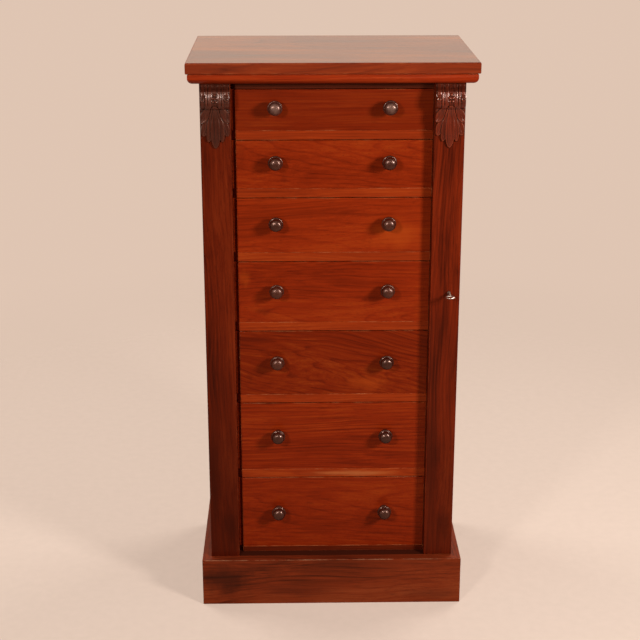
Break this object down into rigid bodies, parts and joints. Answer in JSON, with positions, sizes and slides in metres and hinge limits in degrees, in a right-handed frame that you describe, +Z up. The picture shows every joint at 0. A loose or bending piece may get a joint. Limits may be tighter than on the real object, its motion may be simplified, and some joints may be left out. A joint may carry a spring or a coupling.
{
  "type": "wellington chest",
  "caption": "Tall narrow mahogany chest of graduated drawers between a pilaster and a hinged, locking stile, with carved corbels and turned knobs.",
  "frame": {"origin": "floor level, in the middle of the overall width and depth, the key in its lock included", "axes": "+Z up, +Y from the front to the back, +X to the right of someone facing the drawers"},
  "size_m": [0.548, 0.398, 1.129],
  "materials": {
    "drawer_mahogany": "polished",
    "pilaster_mahogany": "polished",
    "polished_mahogany": "polished",
    "dark_carved_wood": "gloss",
    "dark_turned_wood": "gloss",
    "drawer_lining": "matte",
    "case_pine": "matte",
    "brass": "satin",
    "lock_steel": "satin",
    "key_metal": "satin"
  },
  "bodies": {
    "case": {"top_board": "polished_mahogany", "top_moulding": "polished_mahogany", "side_left": "polished_mahogany", "side_right": "polished_mahogany", "front_posts": "case_pine", "pilaster": "pilaster_mahogany", "corbel_left": "dark_carved_wood", "top_rails": "drawer_mahogany", "bottom_board": "case_pine", "drawer_rails": "drawer_mahogany", "drawer_runners": "case_pine", "drawer_guides": "case_pine", "dust_boards": "case_pine", "drawer_stops": "case_pine", "back_boards": "case_pine", "plinth_boards": "polished_mahogany", "plinth_blocks": "case_pine", "fixed_pivots": "brass", "striker": "lock_steel"},
    "drawer_1": {"drawer_1_front": "drawer_mahogany", "drawer_1_sides": "drawer_lining", "drawer_1_back": "drawer_lining", "drawer_1_bottom": "drawer_lining", "drawer_1_knobs": "dark_turned_wood"},
    "drawer_2": {"drawer_2_front": "drawer_mahogany", "drawer_2_sides": "drawer_lining", "drawer_2_back": "drawer_lining", "drawer_2_bottom": "drawer_lining", "drawer_2_knobs": "dark_turned_wood"},
    "drawer_3": {"drawer_3_front": "drawer_mahogany", "drawer_3_sides": "drawer_lining", "drawer_3_back": "drawer_lining", "drawer_3_bottom": "drawer_lining", "drawer_3_knobs": "dark_turned_wood"},
    "drawer_4": {"drawer_4_front": "drawer_mahogany", "drawer_4_sides": "drawer_lining", "drawer_4_back": "drawer_lining", "drawer_4_bottom": "drawer_lining", "drawer_4_knobs": "dark_turned_wood"},
    "drawer_5": {"drawer_5_front": "drawer_mahogany", "drawer_5_sides": "drawer_lining", "drawer_5_back": "drawer_lining", "drawer_5_bottom": "drawer_lining", "drawer_5_knobs": "dark_turned_wood"},
    "drawer_6": {"drawer_6_front": "drawer_mahogany", "drawer_6_sides": "drawer_lining", "drawer_6_back": "drawer_lining", "drawer_6_bottom": "drawer_lining", "drawer_6_knobs": "dark_turned_wood"},
    "drawer_7": {"drawer_7_front": "drawer_mahogany", "drawer_7_sides": "drawer_lining", "drawer_7_back": "drawer_lining", "drawer_7_bottom": "drawer_lining", "drawer_7_knobs": "dark_turned_wood"},
    "stile": {"locking_stile": "pilaster_mahogany", "corbel_right": "dark_carved_wood", "moving_pivots": "brass", "lock_case": "brass"},
    "bolt": {"lock_bolt": "lock_steel"},
    "key": {"key": "key_metal"}
  },
  "joints": [
    {"name": "drawer_1_slide", "type": "slide", "parent": "case", "child": "drawer_1", "axis": [0, -1, 0], "range_m": [0, 0.26]},
    {"name": "drawer_2_slide", "type": "slide", "parent": "case", "child": "drawer_2", "axis": [0, -1, 0], "range_m": [0, 0.26]},
    {"name": "drawer_3_slide", "type": "slide", "parent": "case", "child": "drawer_3", "axis": [0, -1, 0], "range_m": [0, 0.26]},
    {"name": "drawer_4_slide", "type": "slide", "parent": "case", "child": "drawer_4", "axis": [0, -1, 0], "range_m": [0, 0.26]},
    {"name": "drawer_5_slide", "type": "slide", "parent": "case", "child": "drawer_5", "axis": [0, -1, 0], "range_m": [0, 0.26]},
    {"name": "drawer_6_slide", "type": "slide", "parent": "case", "child": "drawer_6", "axis": [0, -1, 0], "range_m": [0, 0.26]},
    {"name": "drawer_7_slide", "type": "slide", "parent": "case", "child": "drawer_7", "axis": [0, -1, 0], "range_m": [0, 0.26]},
    {"name": "stile_hinge", "type": "hinge", "parent": "case", "child": "stile", "pos_m": [0.243, -0.152, 0.102], "axis": [0, 0, 1], "range_deg": [0, 105]},
    {"name": "key_turn", "type": "hinge", "parent": "stile", "child": "key", "pos_m": [0.2285, -0.159, 0.676], "axis": [0, -1, 0], "range_deg": [0, 90]},
    {"name": "bolt_slide", "type": "slide", "parent": "stile", "child": "bolt", "axis": [0, 0, -1], "range_m": [0, 0.008]}
  ],
  "couplings": [
    {"joint": "bolt_slide", "follows": "key_turn", "m_per_rad": 0.005093}
  ]
}
